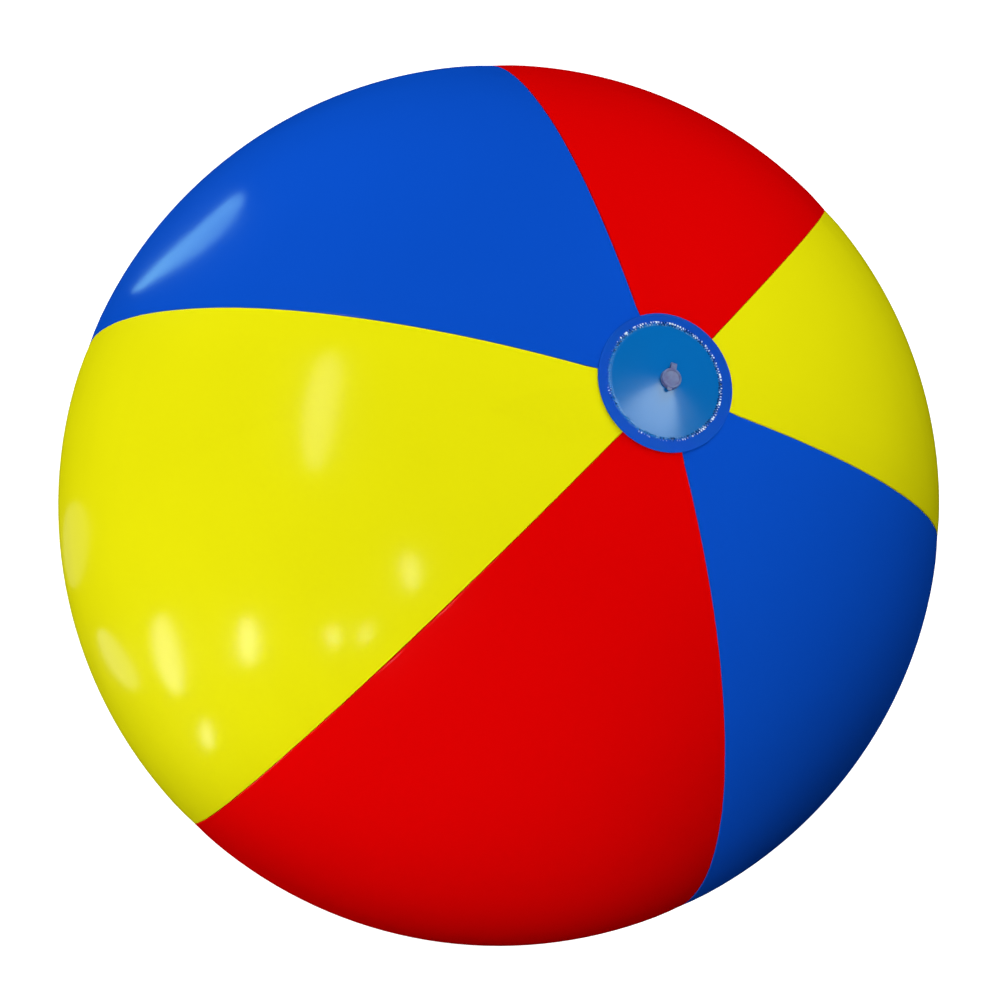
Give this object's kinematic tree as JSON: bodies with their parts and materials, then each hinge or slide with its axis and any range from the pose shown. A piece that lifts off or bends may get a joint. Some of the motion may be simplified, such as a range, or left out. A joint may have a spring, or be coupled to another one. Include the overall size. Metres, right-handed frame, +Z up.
{
  "type": "inflatable beach ball",
  "caption": "Blown-up vinyl beach ball of welded coloured panels with end discs and a push-in blow-up valve with plug and check flap.",
  "frame": {"origin": "centre of the bottom disc's outer face, the flat that the ball stands on", "axes": "+Z up through both end discs to the valve, +X along the seam between yellow panel 1 and blue panel 2, +Y towards the fold of the plug's strap"},
  "size_m": [1, 1, 1.0048],
  "materials": {
    "film_red": "glossy red vinyl film",
    "film_yellow": "glossy yellow vinyl film",
    "film_blue": "glossy blue vinyl film",
    "film_disc": "glossy sky-blue tinted vinyl film",
    "valve_vinyl": "soft pale blue moulded vinyl"
  },
  "bodies": {
    "ball": {"panel_yellow_1": "film_yellow", "panel_red_1": "film_red", "panel_blue_1": "film_blue", "panel_yellow_2": "film_yellow", "panel_red_2": "film_red", "panel_blue_2": "film_blue", "bottom_disc": "film_disc", "top_disc": "film_disc", "valve_base": "valve_vinyl", "valve_skirt": "valve_vinyl"},
    "stem": {"valve_stem": "valve_vinyl"},
    "plug": {"valve_plug": "valve_vinyl", "plug_strap": "valve_vinyl"},
    "flap": {"check_flap": "valve_vinyl"}
  },
  "joints": [
    {"name": "valve_pull", "type": "slide", "parent": "ball", "child": "stem", "axis": [0, 0, 1], "range_m": [0, 0.0125], "deforming": ["valve_skirt"]},
    {"name": "plug_swing", "type": "hinge", "parent": "stem", "child": "plug", "pos_m": [0, 0.0102, 1.00289], "axis": [-1, 0, 0], "range_deg": [0, 150]},
    {"name": "flap_open", "type": "hinge", "parent": "stem", "child": "flap", "pos_m": [0, -0.0056, 0.98519], "axis": [-1, 0, 0], "range_deg": [0, 60], "stiffness_Nm_per_rad": 0.0002, "springref_deg": -2.86}
  ]
}
